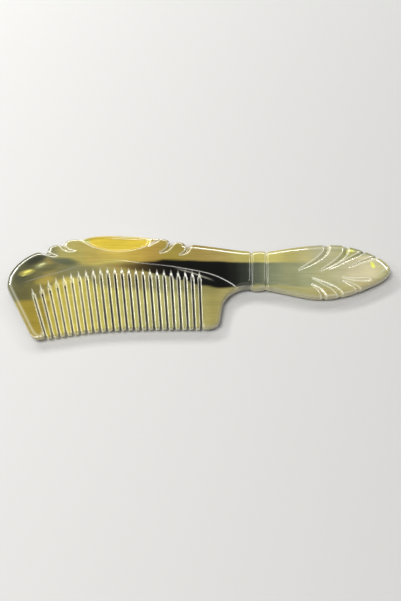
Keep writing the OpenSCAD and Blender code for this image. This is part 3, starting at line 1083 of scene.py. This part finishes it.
    def patches(self):
        """Dark, pale and golden clouds, and painted glints of light with soft halos at the left end
        and
        in the leaf: centre, radii, angle, colour, strength."""
        for centre, radii, degrees, colour, strength in (
            ((-59, 27.4), (4.0, 2.6), -30, (186, 188, 118), 0.75),
            ((-82.8, 14.6), (8.0, 3.6), 36, (50, 52, 42), 0.9),
            ((-89, 1.5), (3.4, 6.0), 10, (70, 72, 54), 0.6),
            ((-68.5, 13.4), (9.5, 3.2), -10, (80, 86, 70), 0.9),
            ((-75.6, 9.4), (6.0, 2.6), 25, (84, 86, 64), 0.7),
            ((-77.0, 1.2), (6.5, 3.0), 14, (176, 156, 76), 0.6),
            # Painted glints, each with a soft halo
            ((-86.2, 6.6), (5.2, 2.4), 22, (186, 176, 92), 0.7),
            ((-86.0, 7.0), (2.8, 1.1), 30, (238, 230, 120), 0.9),
            ((-87.6, 4.6), (1.6, 0.6), 30, (228, 216, 110), 0.6),
            ((-79.8, 10.9), (4.2, 1.9), 25, (150, 154, 112), 0.6),
            ((-79.6, 11.1), (2.4, 0.9), 30, (226, 224, 160), 0.6),
            ((76.8, 20.0), (2.6, 1.3), -5, (236, 234, 104), 0.95),
            ((86.3, 10.0), (1.3, 3.0), 4, (238, 238, 106), 0.95),
        ):
            self.lay(self.spot(centre, radii, degrees), strength, srgb(*colour))

    def fibres_and_haze(self):
        """Fine fibres along the plate, and wide faint clouds."""
        tree = self.tree
        fibres = tree.ramp(self.fibre, [(0.3, (0.84, 0.84, 0.80, 1)), (0.7, (1.10, 1.10, 1.06, 1))])
        self.colour = tree.mix(0.6, self.colour, fibres, "MULTIPLY")
        haze = tree.ramp(self.cloud, [(0.3, (0.86, 0.88, 0.84, 1)), (0.7, (1.08, 1.07, 1.04, 1))])
        self.colour = tree.mix(0.8, self.colour, haze, "MULTIPLY")

    def paint_highlights_and_shade(self, painted_light):
        """Painted highlights on lips and rims, and painted shade down the teeth's middles."""
        tree = self.tree
        lit = tree.mix(0.8, self.colour, srgb(246, 244, 220))
        self.colour = tree.mix(tree.times(painted_light, 0.85, clamp=True), self.colour, lit)
        painted_shade = tree.times(painted_light, -1.6, clamp=True)
        self.colour = tree.mix(painted_shade, self.colour, (0.76, 0.83, 0.76, 1), "MULTIPLY")


def horn_material():
    tree = Tree("polished_horn")
    horn_at = Horn(tree)
    horn_at.spine_and_blade()
    horn_at.smoke()
    horn_at.ochre_guard()
    horn_at.dark_streak()
    horn_at.yellow_dish()
    horn_at.patches()
    horn_at.fibres_and_haze()
    # Each vertex's painted highlights, shade and glow
    painted_light = tree.node("ShaderNodeAttribute", attribute_name="painted_light").outputs["Fac"]
    horn_at.paint_highlights_and_shade(painted_light)

    # Where the painted light passes 1, the horn's colour is given off as a painted glow
    painted_glow = tree.minus(painted_light, 1.0, clamp=True)
    rough = tree.node("ShaderNodeMapRange")
    tree.plug(rough.inputs["Value"], horn_at.fibre)
    rough.inputs["To Min"].default_value = 0.08
    rough.inputs["To Max"].default_value = 0.16
    grain = tree.node("ShaderNodeBump")
    grain.inputs["Strength"].default_value = 0.12
    grain.inputs["Distance"].default_value = 0.05 * MM
    tree.plug(grain.inputs["Height"], horn_at.fibre)
    tree.surface(
        Base_Color=horn_at.colour,
        Emission_Color=tree.mix(painted_glow, (0, 0, 0, 1), horn_at.colour),
        Emission_Strength=0.7,
        IOR=1.55,
        Roughness=rough.outputs[0],
        Normal=grain.outputs[0],
        Coat_Weight=1.0,
        Coat_Roughness=0.04,
        Coat_IOR=1.5,
    )
    return tree.material


horn = horn_material()

add_region("spine")
add_region("root_band")
add_region("front_guard_tooth")
add_region("rear_guard_tooth")
add_region("neck_collar")
add_region("handle")
for i in range(TEETH):
    add_tooth(i)


# ---- Stage

def floor_material():
    tree = Tree("pale_floor")
    tree.surface(Base_Color=(0.56, 0.555, 0.54, 1), Roughness=0.75)
    return tree.material


def add_floor():
    half = 3.0
    corners = [(-half, -half, 0), (half, -half, 0), (half, half, 0), (-half, half, 0)]
    mesh = new_mesh("floor", corners, [(0, 1, 2, 3)])
    mesh.materials.append(floor_material())
    new_object("floor", mesh)


def add_light(name, azimuth, elevation, distance, size, watts):
    """A soft rectangle of light that points at the middle of the comb, from a distance in m.
    Azimuth 0 stands behind the camera and 90 on the right."""
    a, e = math.radians(azimuth), math.radians(elevation)
    out = Vector((math.sin(a) * math.cos(e), -math.cos(a) * math.cos(e), math.sin(e)))
    data = bpy.data.lights.new(name, "AREA")
    data.shape = "RECTANGLE"
    data.size, data.size_y = size
    data.energy = watts
    light = new_object(name, data)
    light.location = out * distance
    light.rotation_mode = "QUATERNION"
    light.rotation_quaternion = (-out).to_track_quat("-Z", "Y")


def add_world():
    world = bpy.data.worlds.new("studio")
    bpy.context.scene.world = world
    world.use_nodes = True
    background = world.node_tree.nodes["Background"]
    background.inputs["Color"].default_value = (0.9, 0.93, 1.0, 1)
    background.inputs["Strength"].default_value = 0.06


def add_camera():
    """The photograph's view: 51 degrees down, from a little to the left, with a slight roll."""
    data = bpy.data.cameras.new("camera")
    data.lens = 40.97
    data.sensor_width = 36
    data.clip_start = 0.01
    camera = new_object("camera", data)
    place = Vector((-20.2, -217.5, 260.2)) * MM
    right = Vector((0.9984, -0.0408, 0.0384)).normalized()
    forward = Vector((0.0556, 0.6269, -0.7772)).normalized()
    up = right.cross(forward).normalized()
    right = forward.cross(up).normalized()
    turn = Matrix((right, up, -forward)).transposed().to_4x4()
    camera.matrix_world = Matrix.Translation(place) @ turn
    bpy.context.scene.camera = camera


add_floor()
add_light("key", -60, 62, 0.9, (0.5, 0.4), 6.2)
add_light("back_strip", 192, 30, 0.9, (0.8, 0.09), 3.2)
add_light("left_back", 226, 30, 0.9, (0.3, 0.14), 3.0)
add_light("right_back", 136, 30, 0.9, (0.3, 0.12), 1.7)
add_light("left_strip", -75, 35, 0.8, (0.5, 0.06), 1.4)
add_light("fill", 40, 34, 1.2, (0.7, 0.5), 2.5)
add_world()
bpy.context.scene.view_settings.view_transform = "Standard"
add_camera()
